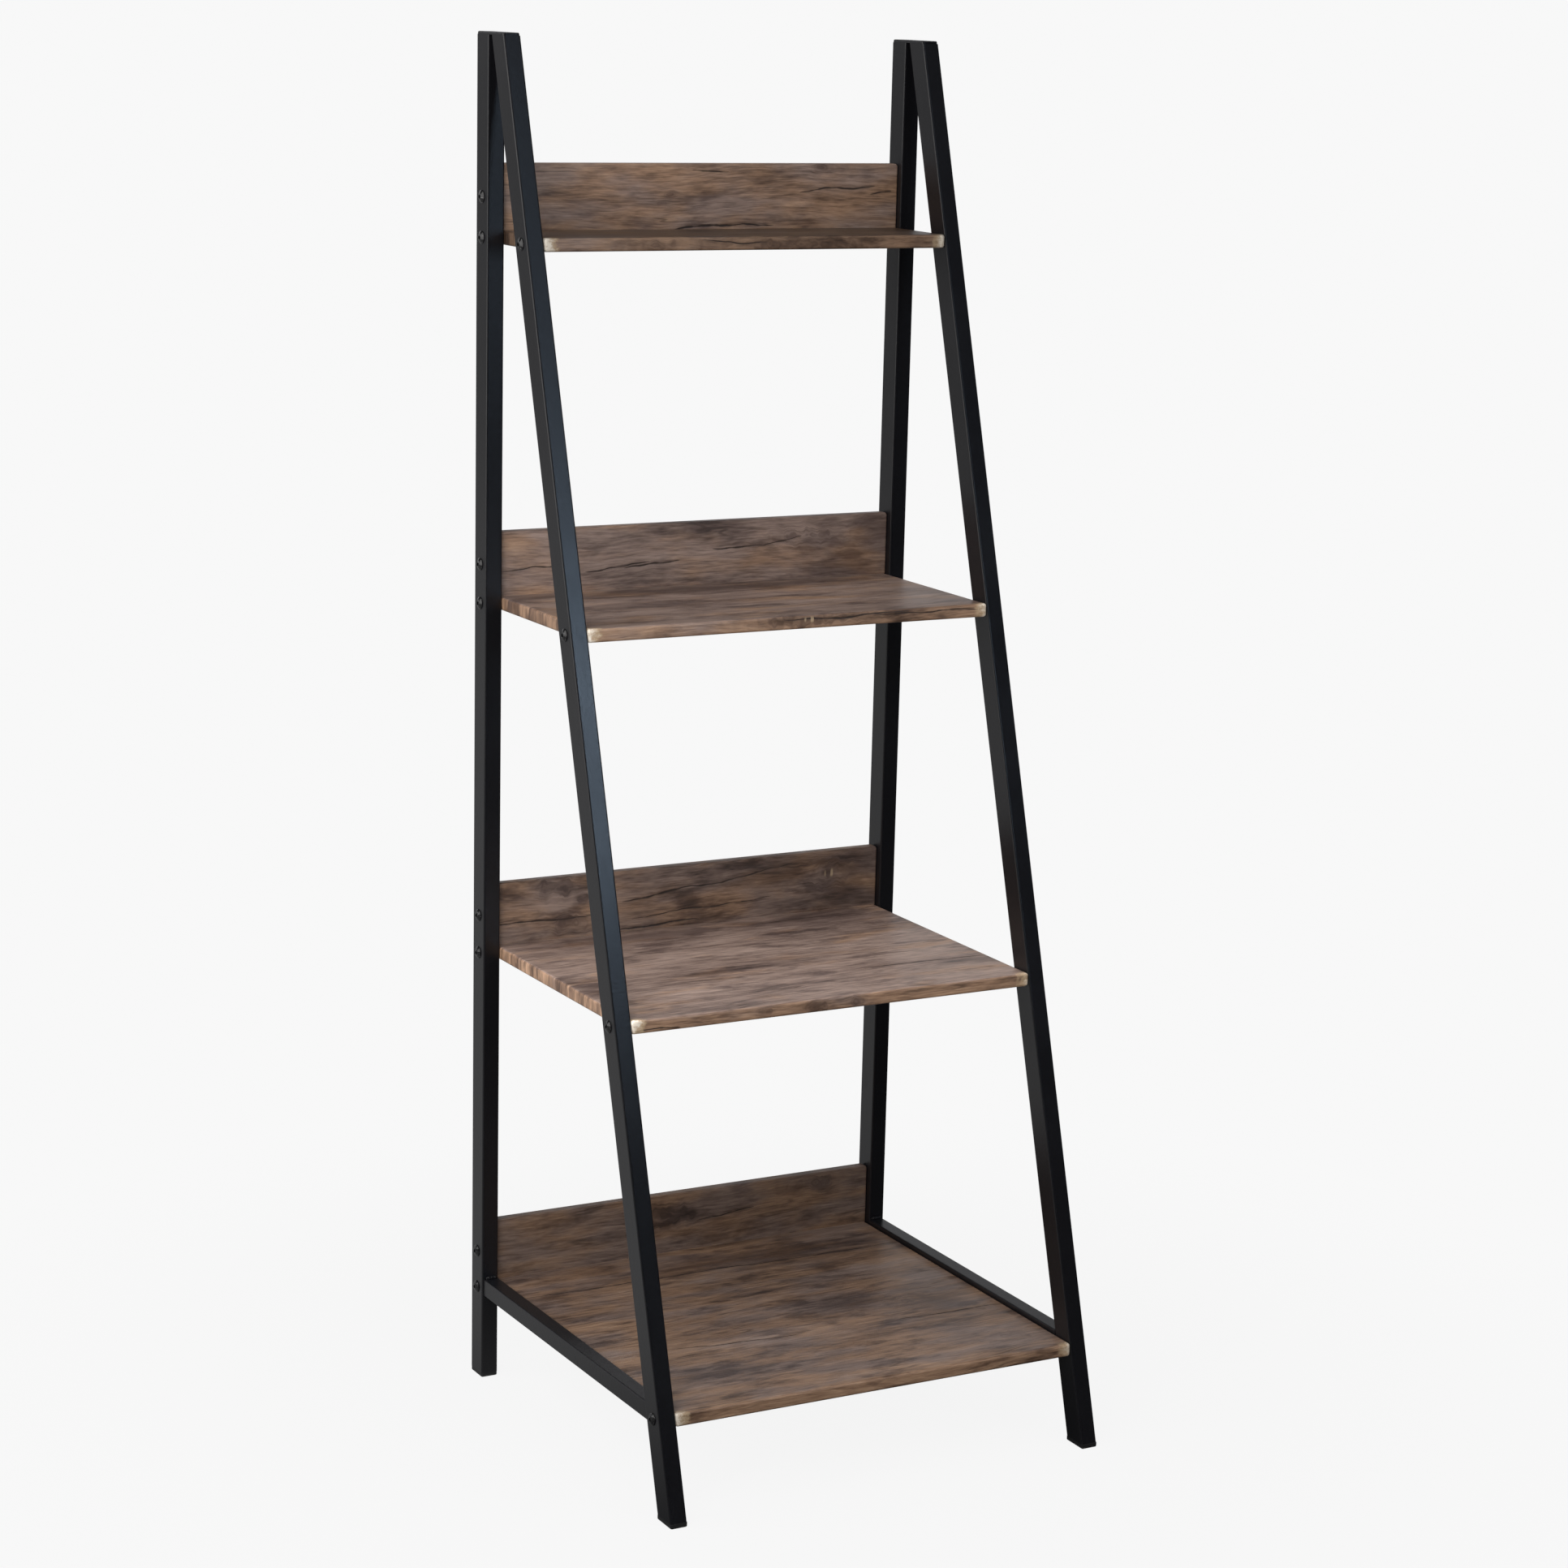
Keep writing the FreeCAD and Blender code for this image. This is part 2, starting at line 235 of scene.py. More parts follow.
def knot_group():
    """Bends the sheet by (u - place) * KNOT_SQUEEZE * g, with g = exp(-r |r|), at most 1.

    r is the distance in half sizes, made ragged by Waver. Shade = g (1 + Rings (sin(RING_PACE r) - 1)),
    a soft dark patch with paler rings in it. Heart is the pale curl at the very middle.
    """
    tree, given, result = new_group(
        "knot", [("Sheet", "Vector", (0.0, 0.0, 0.0)), ("Waver", "Float", 0.5),
                 ("Place", "Vector", (0.0, 0.0, 0.0)), ("Half size", "Vector", (0.03, 0.01, 1.0)),
                 ("Rings", "Float", RING_DEPTH)],
        [("Sheet", "Vector"), ("Shade", "Float"), ("Heart", "Float")])
    away = vectors(tree, "SUBTRACT", given["Sheet"], given["Place"])
    scaled = vectors(tree, "DIVIDE", away, given["Half size"])
    ragged = swing(tree, given["Waver"], KNOT_RAGGEDNESS)
    reach = maths(tree, "ADD", vectors(tree, "LENGTH", scaled), ragged)
    square = maths(tree, "MULTIPLY", reach, maths(tree, "ABSOLUTE", reach))
    near = maths(tree, "EXPONENT", maths(tree, "MULTIPLY", square, -1.0), clamp=True)
    squeeze = maths(tree, "MULTIPLY", parts_of(tree, away)["Y"],
                    maths(tree, "MULTIPLY", near, KNOT_SQUEEZE))
    tree.links.new(vectors(tree, "SUBTRACT", given["Sheet"], vector_of(tree, 0.0, squeeze)),
                   result["Sheet"])
    rings = maths(tree, "SINE", maths(tree, "MULTIPLY", reach, RING_PACE))
    ringed = maths(tree, "MULTIPLY", maths(tree, "SUBTRACT", rings, 1.0), given["Rings"])
    tree.links.new(maths(tree, "MULTIPLY_ADD", near, ringed, near), result["Shade"])
    curl = maths(tree, "SINE", maths(tree, "MULTIPLY", parts_of(tree, scaled)["X"], CURL_PACE))
    core = ease(tree, vectors(tree, "LENGTH", scaled), 0.55, 0.15)
    curled = ease(tree, maths(tree, "ADD", curl, ragged), 0.2, 0.9)
    tree.links.new(maths(tree, "MULTIPLY", core, curled), result["Heart"])
    return tree


KNOT = knot_group()
print("group:", KNOT.name)


# %% Group: one split
SPLIT_WAVER = 0.012
HALO_WIDTHS = 4.0
THINNEST = 1e-5


def split_group():
    """Shade = 1.2 (1 - d / w) + 0.22 (1 - d / (HALO_WIDTHS w)), each cut off at 0: a line in a faint halo.

    d is the distance, with a waver, from the line that leaves Start along Run. With t the share of the
    run, w = Width * sqrt(4 t (1 - t)) times a fray, so that both ends taper.
    """
    tree, given, result = new_group(
        "split", [("Sheet", "Vector", (0.0, 0.0, 0.0)), ("Waver", "Float", 0.5),
                  ("Fray", "Float", 0.5), ("Start", "Vector", (0.0, 0.0, 0.0)),
                  ("Run", "Vector", (0.1, 0.0, 0.0)), ("Width", "Float", 0.001)],
        [("Shade", "Float")])
    away = vectors(tree, "SUBTRACT", given["Sheet"], given["Start"])
    share = maths(tree, "DIVIDE", vectors(tree, "DOT_PRODUCT", away, given["Run"]),
                  vectors(tree, "DOT_PRODUCT", given["Run"], given["Run"]))
    on_line = maths(tree, "MULTIPLY", share, parts_of(tree, given["Run"])["Y"])
    off_line = maths(tree, "SUBTRACT", parts_of(tree, away)["Y"], on_line)
    waver = swing(tree, given["Waver"], SPLIT_WAVER)
    distance = maths(tree, "ABSOLUTE", maths(tree, "ADD", off_line, waver))
    taper = maths(tree, "MULTIPLY", maths(tree, "MULTIPLY", share, maths(tree, "SUBTRACT", 1.0, share)),
                  4.0, clamp=True)
    wide = maths(tree, "MULTIPLY", given["Width"], maths(tree, "SQRT", taper))
    wide = maths(tree, "MULTIPLY", wide, ease(tree, given["Fray"], 0.30, 0.66, 0.60, 1.45))
    line, halo = [
        maths(tree, "SUBTRACT", 1.0,
              maths(tree, "DIVIDE", distance, maths(tree, "MULTIPLY_ADD", wide, widths, THINNEST)),
              clamp=True)
        for widths in (1.0, HALO_WIDTHS)]
    shade = maths(tree, "MULTIPLY_ADD", halo, 0.22, maths(tree, "MULTIPLY", line, 1.2), clamp=True)
    tree.links.new(shade, result["Shade"])
    return tree


SPLIT = split_group()
print("group:", SPLIT.name)

# %% [markdown]
# ## The oak print
# Weathered oak has several sizes of pattern at once: fibres about 2 mm apart, short dashes, darker
# streaks a centimetre wide, broad bands, smoky clouds, and a drift between grey and tan. Each is a
# noise that is stretched along the grain. One noise alone looks like marble. It is the sum that
# reads as wood. Thin dark checks come from the places where a stretched noise crosses its middle
# value, which gives long closed lines of changing width. The group is shared, and each board gives
# it another Seed, so that no two boards are alike.

# %% Group: weathered oak print
OAK_DARK = (0.060, 0.041, 0.033, 1.0)
OAK_MIDDLE = (0.185, 0.128, 0.100, 1.0)
OAK_LIGHT = (0.335, 0.246, 0.196, 1.0)
OAK_GREY = (0.90, 0.92, 0.98, 1.0)
OAK_TAN = (1.12, 0.99, 0.82, 1.0)
OAK_CLOUD = (0.40, 0.385, 0.40, 1.0)
OAK_SPLIT = (0.022, 0.015, 0.012, 1.0)
OAK_HALO = (0.40, 0.30, 0.19, 1.0)
OAK_PALE = (0.66, 0.605, 0.525, 1.0)

# Cells per metre along and across the grain, detail, roughness of the noise, and share of the print.
GRAIN_LAYERS = {
    "fibre": (50.0, 640.0, 2.0, 0.65, 0.22),
    "dash": (26.0, 310.0, 2.0, 0.60, 0.28),
    "streak": (7.5, 100.0, 3.0, 0.60, 0.20),
    "band": (3.4, 22.0, 3.0, 0.55, 0.30),
}
SLOW_WARP = 0.016
QUICK_WARP = 0.0026
CHECK_DEPTH = 0.50


def oak_print():
    """Color = Tone * ramp(sum of share * layer) * drift * clouds, then checks, splits and pale foil on it.

    The layers lie on a grain that wanders by the two warps. Height rises with the fibres and dashes
    and falls in the splits. Roughness follows the dashes.
    """
    tree, given, result = new_group(
        "weathered oak print",
        [("Sheet", "Vector", (0.0, 0.0, 0.0)), ("Seed", "Vector", (0.0, 0.0, 0.0)),
         ("Shade", "Float", 0.0), ("Splits", "Float", 0.0), ("Pale", "Float", 0.0),
         ("Tone", "Float", 1.0), ("Clouds", "Float", 1.0), ("Tan", "Float", 0.0)],
        [("Color", "Color"), ("Roughness", "Float"), ("Height", "Float")])
    sheet = vectors(tree, "ADD", given["Sheet"], given["Seed"])
    slow = swing(tree, flat_noise(tree, sheet, 3.5, 13.0), SLOW_WARP)
    quick = swing(tree, flat_noise(tree, sheet, 22.0, 70.0), QUICK_WARP)
    grain = vectors(tree, "ADD", sheet, vector_of(tree, 0.0, maths(tree, "ADD", slow, quick)))

    layers, value = {}, 0.0
    for layer, (along, across, detail, roughness, share) in GRAIN_LAYERS.items():
        layers[layer] = flat_noise(tree, grain, along, across, detail, roughness)
        value = maths(tree, "MULTIPLY_ADD", layers[layer], share, value)
    dark_half = mix(tree, ease(tree, value, 0.30, 0.52), OAK_DARK, OAK_MIDDLE)
    colour = mix(tree, ease(tree, value, 0.44, 0.72), dark_half, OAK_LIGHT)

    drift = flat_noise(tree, sheet, 9.0, 26.0, detail=3.0)
    drift = maths(tree, "ADD", drift, maths(tree, "MULTIPLY", given["Tan"], 0.2))
    hue = mix(tree, ease(tree, drift, 0.34, 0.66), OAK_GREY, OAK_TAN)
    colour = mix(tree, 1.0, colour, hue, "MULTIPLY")
    cloud = ease(tree, flat_noise(tree, grain, 12.0, 40.0, detail=4.0, roughness=0.62), 0.49, 0.74)
    cloud = maths(tree, "ADD", maths(tree, "MULTIPLY", cloud, given["Clouds"]), given["Shade"], clamp=True)
    colour = mix(tree, cloud, colour, mix(tree, 1.0, colour, OAK_CLOUD, "MULTIPLY"))

    isoline = maths(tree, "ABSOLUTE", maths(tree, "SUBTRACT", flat_noise(tree, grain, 5.0, 55.0), 0.5))
    patch = ease(tree, flat_noise(tree, sheet, 10.0, 26.0), 0.52, 0.70)
    checks = maths(tree, "MULTIPLY", ease(tree, isoline, 0.026, 0.004), patch)
    lines = maths(tree, "MAXIMUM", maths(tree, "MULTIPLY", checks, CHECK_DEPTH), given["Splits"])
    colour = mix(tree, lines, colour, OAK_SPLIT)

    halo = ease(tree, given["Pale"], 0.02, 0.45, 0.0, 0.62)
    colour = mix(tree, halo, colour, OAK_HALO)
    colour = mix(tree, ease(tree, given["Pale"], 0.38, 1.05), colour, OAK_PALE)
    toned = vectors(tree, "MULTIPLY", colour, vector_of(tree, given["Tone"], given["Tone"], given["Tone"]))
    tree.links.new(toned, result["Color"])

    rough = maths(tree, "MULTIPLY_ADD", layers["dash"], 0.20, 0.32)
    tree.links.new(maths(tree, "MULTIPLY_ADD", lines, 0.2, rough), result["Roughness"])
    relief = maths(tree, "MULTIPLY_ADD", layers["dash"], 0.5, maths(tree, "MULTIPLY", layers["fibre"], 0.5))
    tree.links.new(maths(tree, "SUBTRACT", relief, lines), result["Height"])
    return tree


OAK = oak_print()
print("group:", OAK.name, "with", len(OAK.nodes), "nodes")

# %% [markdown]
# ## Where the foil is folded
# At the two front corners of a shelf the foil has to go round three faces at once. There the board
# gets a small pale patch with a ragged outline. The patch is worked out from the distance to the
# corner, and a coarse noise tears its outline. It reads object coordinates and not the unrolled sheet,
# because it goes round the corner as one spot.

# %% Group: pale folded corners
CORNER_REACH = 0.021
CORNER_DEPTH = 0.013
CORNER_RAGGEDNESS = 2.0


def folded_corner():
    """Pale = share * ease(n) * (n f + ragged f), with n = 1 - gap / CORNER_REACH and gap from the end.

    f fades from 1 at the front edge to 0 at CORNER_DEPTH behind it. The noise is drawn out along the
    grain. The left and the right corner each have their own share.
    """
    tree, given, result = new_group(
        "folded foil corner", [("Half length", "Float", 0.25), ("Front", "Float", 0.0),
                               ("Left share", "Float", 1.0), ("Right share", "Float", 1.0)],
        [("Pale", "Float")])
    place = put(tree, "TexCoord").outputs["Object"]
    x, y, _ = parts_of(tree, place)
    stretched = put(tree, "Mapping", {"Vector": place, "Scale": (0.7, 1.0, 1.0)}).outputs[0]
    ragged = swing(tree, solid_noise(tree, stretched, 150.0, detail=4.0, roughness=0.75),
                   CORNER_RAGGEDNESS)
    gap = maths(tree, "SUBTRACT", given["Half length"], maths(tree, "ABSOLUTE", x))
    near_end = maths(tree, "SUBTRACT", 1.0, maths(tree, "DIVIDE", gap, CORNER_REACH), clamp=True)
    near_front = ease(tree, maths(tree, "SUBTRACT", y, given["Front"]), CORNER_DEPTH, 0.001)
    near = maths(tree, "MULTIPLY", near_end, near_front)
    torn = maths(tree, "MULTIPLY_ADD", ragged, near_front, near, clamp=True)
    torn = maths(tree, "MULTIPLY", torn, ease(tree, near_end, 0.0, 0.3))
    side = ease(tree, x, -0.01, 0.01)
    share = maths(tree, "ADD", maths(tree, "MULTIPLY", side, given["Right share"]),
                  maths(tree, "MULTIPLY", maths(tree, "SUBTRACT", 1.0, side), given["Left share"]))
    tree.links.new(maths(tree, "MULTIPLY", torn, share), result["Pale"])
    return tree


FOLD = folded_corner()
print("group:", FOLD.name)

# %% [markdown]
# ## Eight boards, eight sheets
# Each board now gets its own material: the same groups, placed with the knots and splits of that
# board. The places are in millimetres on the unrolled sheet, with x from the middle of the board.
# For a shelf u is the distance behind the middle of the frame, and for a backboard it is the height
# above its shelf. A knot is (x, u, half length, half height), and a split is (x0, u0, x1, u1, width).
# A patch that is 14 mm or more in half height is no knot but a smoky cloud: it darkens the
# wood and leaves the grain straight. The wide clouds at the back of shelves 1 to 3 are painted shade
# under the shelf above. Those at the right ends of backboards 2 and 3 are partly the print's clouds
# and partly painted shade.
#
# The other numbers set the sheet itself. seed picks the piece of wood. The tone is how light the board
# is, and it also holds painted light and shade: it is raised on shelves 2 and 3 for a painted sheen on
# their tops, lowered on shelf 4 for painted shade on its top, and lower on backboards 1 and 2 as painted
# shade. lip is added to it on the front edge, and on shelves 2 and 3 it takes the painted sheen off that
# edge again. tan turns the drift from grey towards tan; below 0 it greys the board, which on shelves 2
# and 3 is part of the painted sheen. clouds is the depth of the clouds that the print has everywhere.
# pale is the share of the left and the right folded corner, and hearts lists the knots that show a pale
# curl.

# %% The knots and splits of each board
BOARD_MARKS = {
    # Shelves: the wide clouds at the back, u 170 to 210, are painted shade under the shelf above.
    "shelf_1": {
        "seed": (3.1, 7.4), "tone_and_light": 1.16, "lip": 0.06, "tan": 0.1, "clouds": 1.0, "pale": (0.95, 0.80),
        "knots": [(94, -6, 52, 24), (146, -30, 26, 12), (-222, -3, 18, 4), (-142, -136, 42, 20),
                  (198, -178, 26, 11), (80, 176, 190, 36), (180, -40, 60, 60)],
        "splits": [(-250, 163, 250, 155, 1.6), (108, -78, 252, -82, 1.3), (-165, -57, -10, -72, 0.8)]},
    "shelf_2": {
        "seed": (11.7, 2.2), "tone_and_light": 2.36, "lip": -0.80, "tan": -0.9, "clouds": 0.9, "pale": (0.95, 0.80),
        "knots": [(150, 200, 80, 34), (-60, 206, 190, 28), (207, 162, 12, 6), (-46, 45, 16, 4),
                  (-222, 30, 34, 24), (-28, -118, 26, 7), (-86, -116, 9, 8), (24, -118, 9, 6),
                  (-193, -74, 18, 4)],
        "splits": [(88, -16, 250, -17, 1.0), (-247, -120, -190, -123, 1.1), (60, 206, 190, 215, 0.8)]},
    "shelf_3": {
        "seed": (5.3, 15.9), "tone_and_light": 1.72, "lip": -0.26, "tan": -0.6, "clouds": 0.9, "pale": (1.0, 0.85),
        "hearts": (0,),
        "knots": [(21, 4, 24, 9), (66, 6, 52, 7), (-14, 3, 38, 10), (-40, 206, 210, 24), (-90, 128, 70, 22)],
        "splits": [(-12, 6, 146, 5, 1.4), (100, 3, 245, 2, 0.9)]},
    "shelf_4": {
        "seed": (8.8, 4.1), "tone_and_light": 0.50, "lip": 0.50, "tan": 0.2, "clouds": 0.8, "pale": (1.2, 0.95),
        "knots": [(-120, 118, 20, 5), (150, 122, 26, 4), (60, 118, 120, 9)],
        "splits": [(-60, 122, 20, 121, 0.8)]},
    "backboard_1": {
        "seed": (1.9, 9.6), "tone_and_light": 0.82, "lip": 0.0, "tan": -0.2, "clouds": 0.8,
        "knots": [(-20, 46, 26, 12), (176, 60, 34, 8)],
        "splits": [(14, 35, 92, 39, 0.9)]},
    # Backboards 2 and 3: the wide clouds at the right end are partly print and partly painted shade.
    "backboard_2": {
        "seed": (14.2, 6.5), "tone_and_light": 1.14, "lip": 0.0, "tan": -0.1, "clouds": 1.0, "hearts": (0,),
        "knots": [(184, 45, 24, 13), (-172, 59, 20, 11), (-142, 44, 9, 5), (-154, 16, 26, 9),
                  (205, 20, 60, 24), (226, 56, 50, 22), (110, 50, 60, 20)],
        "splits": [(-90, 35, 58, 49, 1.5), (50, 48, 134, 61, 0.9), (-78, 14, 106, 23, 0.8),
                   (-96, 3, 10, 5, 1.3), (-250, 24, -128, 25, 1.2)]},
    "backboard_3": {
        "seed": (6.6, 12.8), "tone_and_light": 1.44, "lip": 0.0, "tan": -0.5, "clouds": 0.6,
        "knots": [(150, 50, 60, 8), (250, 30, 130, 60), (20, 66, 60, 16)],
        "splits": [(-142, 22, -62, 31, 1.0), (-94, 25, -24, 31, 1.2), (18, 42, 88, 41, 1.2),
                   (82, 41, 134, 50, 0.9), (-244, 28, -150, 31, 0.9)]},
    "backboard_4": {
        "seed": (10.4, 18.3), "tone_and_light": 1.36, "lip": 0.0, "tan": 0.1, "clouds": 0.7,
        "knots": [(149, 67, 10, 5), (-45, 38, 9, 3), (-54, 28, 8, 3)],
        "splits": [(-70, -1, 88, 6, 1.4), (120, 42, 218, 45, 1.1), (-16, 64, 30, 62, 0.9),
                   (212, 36, 240, 38, 1.0)]},
}
MM = 0.001
CLOUD_OR_SHADE_HEIGHT = 14.0
print("boards with marks:", len(BOARD_MARKS))


# %% Material: one board in oak foil
KNOT_DEPTH = 0.9
HEART_SHARE = 0.42
END_BANDS = 0.75
EDGE_TAN = 1.0
FOIL_RELIEF = 0.35
FOIL_RELIEF_DEPTH = 0.0006


def board_material(board, marks):
    """Unrolled foil, bent by each knot in turn, then the print, with the splits on the unbent sheet.

    The smoke noise gives a cloud its outline, and the fray noise does so for a knot or a split. The
    ends get dark bands as well, and the rolled edges of every shelf are tan.
    """
    material, tree, shader = new_material(board + "_oak_foil")
    low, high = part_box(board)
    is_shelf = board.startswith("shelf")
    origin = (0.0, 0.0, high.z) if is_shelf else (0.0, low.y, low.z)
    foil = put(tree, "Group", {"Origin": origin}, node_tree=FOIL)
    sheet = foil.outputs["Sheet"]
    seed = (marks["seed"][0], marks["seed"][1], 0.0)
    seeded = vectors(tree, "ADD", sheet, seed)
    waver = flat_noise(tree, seeded, 13.0, 4.0, detail=3.0)
    fray = flat_noise(tree, seeded, 60.0, 30.0)
    smoke = flat_noise(tree, seeded, 16.0, 60.0, detail=4.0, roughness=0.62)
    shade, heart, splits = 0.0, 0.0, 0.0
    bent = sheet
    # Wide patches darken without bending the grain: print clouds, and painted shade at the shelf backs.
    for number, (x, u, half_length, half_height) in enumerate(marks["knots"]):
        is_cloud_or_shade = half_height >= CLOUD_OR_SHADE_HEIGHT
        knot = put(tree, "Group", {"Sheet": sheet if is_cloud_or_shade else bent,
                                   "Waver": smoke if is_cloud_or_shade else fray,
                                   "Rings": 0.0 if is_cloud_or_shade else RING_DEPTH,
                                   "Place": (x * MM, u * MM, 0.0),
                                   "Half size": (half_length * MM, half_height * MM, 1.0)},
                   node_tree=KNOT)
        bent = bent if is_cloud_or_shade else knot.outputs["Sheet"]
        shade = maths(tree, "MAXIMUM", knot.outputs["Shade"], shade)
        if number in marks.get("hearts", ()):
            heart = maths(tree, "MULTIPLY", knot.outputs["Heart"], HEART_SHARE)
    for x0, u0, x1, u1, width in marks["splits"]:
        split = put(tree, "Group", {"Sheet": sheet, "Waver": waver, "Fray": fray,
                                    "Start": (x0 * MM, u0 * MM, 0.0),
                                    "Run": ((x1 - x0) * MM, (u1 - u0) * MM, 0.0),
                                    "Width": width * MM}, node_tree=SPLIT)
        splits = maths(tree, "MAXIMUM", split.outputs["Shade"], splits)
    if is_shelf:
        fold = put(tree, "Group", {"Half length": high.x, "Front": low.y, "Left share": marks["pale"][0],
                                   "Right share": marks["pale"][1]}, node_tree=FOLD)
        heart = maths(tree, "MAXIMUM", fold.outputs["Pale"], heart)

    bands = ease(tree, flat_noise(tree, seeded, 20.0, 60.0), 0.44, 0.60)
    banded = maths(tree, "MULTIPLY", maths(tree, "MULTIPLY", bands, foil.outputs["End"]), END_BANDS)
    shade = maths(tree, "MAXIMUM", maths(tree, "MULTIPLY", shade, KNOT_DEPTH), banded)
    # The tone carries painted sheen and shade as well as the board's own lightness.
    tone_and_light = maths(tree, "MULTIPLY_ADD", foil.outputs["Lip"], marks["lip"], marks["tone_and_light"])
    edge = maths(tree, "MAXIMUM", foil.outputs["Lip"], foil.outputs["End"])
    more_tan = EDGE_TAN - marks["tan"] if is_shelf else 0.0
    tan = maths(tree, "MULTIPLY_ADD", edge, more_tan, marks["tan"])
    oak = put(tree, "Group", {"Sheet": bent, "Seed": seed, "Shade": shade, "Splits": splits,
                              "Pale": heart, "Tone": tone_and_light, "Clouds": marks["clouds"], "Tan": tan},
              node_tree=OAK)
    feed(tree, shader, oak, FOIL_RELIEF, FOIL_RELIEF_DEPTH)
    return material


for board, marks in BOARD_MARKS.items():
    nodes[board].material_slots[0].material = board_material(board, marks)
    print("%-12s %d knots, %d splits" % (board, len(marks["knots"]), len(marks["splits"])))

# %% [markdown]
# ## Powder coat
# The steel is powder coated: dry powder is sprayed on, then melted in an oven. It never flows
# quite flat, so a powder coat has a fine orange peel where wet paint would be smooth. Up close the
# black is slightly speckled. The light on it is soft, and that comes from the roughness and the
# bump together, not from a lighter colour.

# %% Group: powder coat
COAT_DARK = (0.0038, 0.0038, 0.0050, 1.0)
COAT_LIGHT = (0.0090, 0.0090, 0.0110, 1.0)
ORANGE_PEEL = 210.0
DUST_ON_TOP = 0.25


def powder_coat():
    """Color runs from COAT_DARK to COAT_LIGHT by 0.9 drift + 1.1 grain - 0.5, lighter on level tops.

    Height = 0.6 orange peel + 0.4 grain. Roughness follows the drift and the grain, and rises where
    the coat has been handled. Grain is given in cells per metre.
    """
    tree, given, result = new_group(
        "powder coat", [("Grain", "Float", 900.0), ("Base roughness", "Float", 0.34)],
        [("Color", "Color"), ("Roughness", "Float"), ("Height", "Float")])
    place = put(tree, "TexCoord").outputs["Object"]
    grain = solid_noise(tree, place, given["Grain"], roughness=0.6)
    peel = solid_noise(tree, place, ORANGE_PEEL, detail=1.0)
    drift = solid_noise(tree, place, 9.0, detail=3.0)
    handled = ease(tree, solid_noise(tree, place, 34.0, detail=4.0, roughness=0.7), 0.60, 0.78)
    share = maths(tree, "MULTIPLY_ADD", drift, 0.9, maths(tree, "MULTIPLY_ADD", grain, 1.1, -0.5), clamp=True)
    upward = parts_of(tree, put(tree, "NewGeometry").outputs["Normal"])["Z"]
    dust = ease(tree, upward, 0.7, 1.0, 0.0, DUST_ON_TOP)
    share = maths(tree, "ADD", share, dust, clamp=True)
    tree.links.new(mix(tree, share, COAT_DARK, COAT_LIGHT), result["Color"])
    rough = maths(tree, "MULTIPLY_ADD", drift, 0.12, maths(tree, "SUBTRACT", given["Base roughness"], 0.06))
    rough = maths(tree, "MULTIPLY_ADD", grain, 0.10, rough)
    tree.links.new(maths(tree, "MULTIPLY_ADD", handled, 0.10, rough), result["Roughness"])
    tree.links.new(maths(tree, "MULTIPLY_ADD", peel, 0.6, maths(tree, "MULTIPLY", grain, 0.4)),
                   result["Height"])
    return tree


POWDER = powder_coat()
print("group:", POWDER.name)

# %% Material: powder coated steel
COAT_RELIEF_DEPTH = 0.0005


def coated_steel(name, grain, roughness, relief):
    """Powder coat with its own grain, roughness and strength of relief."""
    material, tree, shader = new_material(name)
    made = put(tree, "Group", {"Grain": grain, "Base roughness": roughness}, node_tree=POWDER)
    feed(tree, shader, made, relief, COAT_RELIEF_DEPTH)
    return material


STEEL_PIECES = [side + part for side in SIDES
                for part in ("_rear_upright", "_front_leg", "_lower_rail", "_top_cap")]
tube_finish = coated_steel("black_powder_coat", 900.0, 0.27, 0.22)
weld_finish = coated_steel("black_powder_coat_on_weld", 600.0, 0.30, 0.35)
for piece in STEEL_PIECES:
    nodes[piece].material_slots[0].material = tube_finish
print("powder coat on", len(STEEL_PIECES), "steel pieces")

# %% [markdown]
# ## Bolts, sleeves and feet
# The bolt heads are black oxide: a thin, dark, slightly oily layer that lets steel shine through
# at the rim. The sleeves in the board ends are zinc plated. The feet are moulded polypropylene,
# which is duller than the coat on the tubes and scuffs pale where it slides on a floor. All three
# are small, so each one has one or two noises and no more. A group isn't worth its trouble here,
# because no two of them share an effect.

# %% Material: black oxide bolts
OXIDE = (0.004, 0.004, 0.0045, 1.0)
BARE_STEEL = (0.28, 0.28, 0.285, 1.0)


def bolt_material():
    """Metal that is dark all over and mixes towards bare steel by a fine noise."""
    material, tree, shader = new_material("black_oxide_bolts")
    place = put(tree, "TexCoord").outputs["Object"]
    mottle = solid_noise(tree, place, 480.0, detail=3.0, roughness=0.7)
    bare = ease(tree, mottle, 0.60, 0.74)
    tree.links.new(mix(tree, bare, OXIDE, BARE_STEEL), shader.inputs["Base Color"])
    tree.links.new(maths(tree, "MULTIPLY", bare, 0.6), shader.inputs["Metallic"])
    tree.links.new(maths(tree, "MULTIPLY_ADD", mottle, 0.20, 0.10), shader.inputs["Roughness"])
    emboss(tree, shader, mottle, 0.2, 0.0002)
    return material


bolt_finish = bolt_material()
for tier in TIERS:
    nodes["tier_%d_bolts" % tier].material_slots[0].material = bolt_finish
print("material:", bolt_finish.name)

# %% Material: zinc plated sleeves
ZINC_DULL = (0.50, 0.48, 0.42, 1.0)
ZINC_BRIGHT = (0.72, 0.71, 0.66, 1.0)


